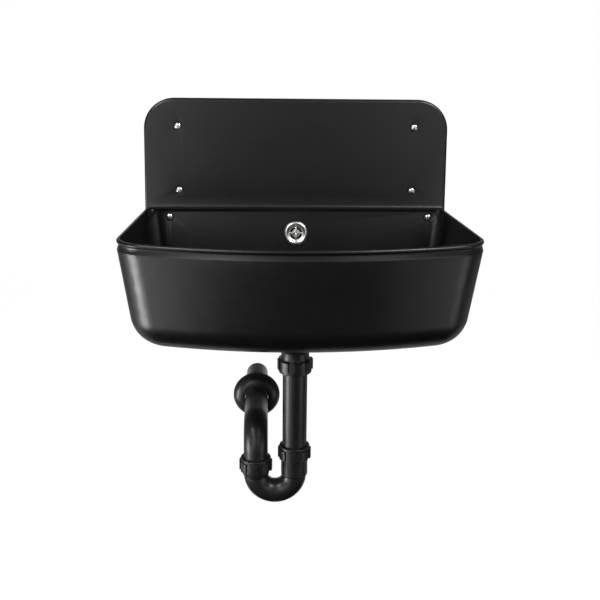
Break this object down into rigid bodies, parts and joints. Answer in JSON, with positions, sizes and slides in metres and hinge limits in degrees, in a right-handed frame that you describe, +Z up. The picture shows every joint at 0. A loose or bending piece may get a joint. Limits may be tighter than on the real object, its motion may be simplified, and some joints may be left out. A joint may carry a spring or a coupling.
{
  "type": "hand basin",
  "caption": "Wall-hung moulded plastic hand basin with bow front, tall splashback, overflow and adjustable tubular trap with wall outlet.",
  "frame": {"origin": "centre of the four splashback screws, on the face of the wall", "axes": "+X to the right as seen by the user, +Y into the wall, +Z up"},
  "size_m": [0.522, 0.4567, 0.656],
  "materials": {
    "basin_plastic": "moulded, semi-gloss black",
    "trap_plastic": "moulded, satin, very dark grey",
    "stainless": "stainless steel, lightly brushed",
    "rubber": "matt black"
  },
  "bodies": {
    "basin": {"basin": "basin_plastic", "wall_screws": "stainless", "wall_screw_washers": "rubber", "lower_screws": "stainless", "lower_screw_washers": "rubber", "overflow_rosette": "stainless", "overflow_screw": "stainless", "overflow_gasket": "rubber", "overflow_cup": "trap_plastic", "overflow_hose": "trap_plastic", "hose_clips": "stainless", "strainer_gasket": "rubber", "waste_strainer": "stainless", "strainer_screw": "stainless", "waste_gasket": "rubber", "waste_body": "trap_plastic", "top_cone_washer": "rubber"},
    "tail": {"tail_pipe": "trap_plastic"},
    "top_ring": {"top_slip_ring": "trap_plastic"},
    "top_nut": {"top_slip_nut": "trap_plastic"},
    "trap_washer": {"inlet_cone_washer": "rubber"},
    "trap": {"u_bend": "trap_plastic"},
    "inlet_ring": {"inlet_slip_ring": "trap_plastic"},
    "inlet_nut": {"inlet_slip_nut": "trap_plastic"},
    "outlet_washer": {"outlet_cone_washer": "rubber"},
    "outlet": {"outlet_bend": "trap_plastic"},
    "outlet_ring": {"outlet_slip_ring": "trap_plastic"},
    "outlet_nut": {"outlet_slip_nut": "trap_plastic"},
    "wall_cover": {"wall_rosette": "trap_plastic"}
  },
  "joints": [
    {"name": "tail_height", "type": "slide", "parent": "basin", "child": "tail", "axis": [0, 0, 1], "range_m": [-0.01, 0.007]},
    {"name": "top_nut_travel", "type": "slide", "parent": "basin", "child": "top_ring", "axis": [0, 0, -1], "range_m": [0, 0.008]},
    {"name": "top_nut_turn", "type": "hinge", "parent": "top_ring", "child": "top_nut", "pos_m": [-0.0035, -0.145, -0.327], "axis": [0, 0, -1], "range_deg": [0, 722]},
    {"name": "trap_height", "type": "slide", "parent": "tail", "child": "trap_washer", "axis": [0, 0, 1], "range_m": [-0.02, 0.015]},
    {"name": "trap_swivel", "type": "hinge", "parent": "trap_washer", "child": "trap", "pos_m": [-0.0035, -0.145, -0.4605], "axis": [0, 0, 1], "range_deg": [-90, 90]},
    {"name": "inlet_nut_travel", "type": "slide", "parent": "trap", "child": "inlet_ring", "axis": [0, 0, 1], "range_m": [0, 0.008]},
    {"name": "inlet_nut_turn", "type": "hinge", "parent": "inlet_ring", "child": "inlet_nut", "pos_m": [-0.0035, -0.145, -0.4555], "axis": [0, 0, 1], "range_deg": [0, 722]},
    {"name": "outlet_nut_travel", "type": "slide", "parent": "trap", "child": "outlet_ring", "axis": [0, 0, 1], "range_m": [0, 0.008]},
    {"name": "outlet_nut_turn", "type": "hinge", "parent": "outlet_ring", "child": "outlet_nut", "pos_m": [-0.0675, -0.145, -0.4775], "axis": [0, 0, 1], "range_deg": [0, 722]},
    {"name": "outlet_swivel", "type": "hinge", "parent": "trap", "child": "outlet_washer", "pos_m": [-0.0675, -0.145, -0.4825], "axis": [0, 0, 1], "range_deg": [-30, 135]},
    {"name": "outlet_height", "type": "slide", "parent": "outlet_washer", "child": "outlet", "axis": [0, 0, 1], "range_m": [-0.007, 0.01]},
    {"name": "wall_cover_slide", "type": "slide", "parent": "outlet", "child": "wall_cover", "axis": [0, -1, 0], "range_m": [0, 0.05]}
  ],
  "couplings": [
    {"joint": "top_nut_turn", "follows": "top_nut_travel", "rad_per_m": 1570.8},
    {"joint": "inlet_nut_turn", "follows": "inlet_nut_travel", "rad_per_m": 1570.8},
    {"joint": "outlet_nut_turn", "follows": "outlet_nut_travel", "rad_per_m": 1570.8}
  ]
}
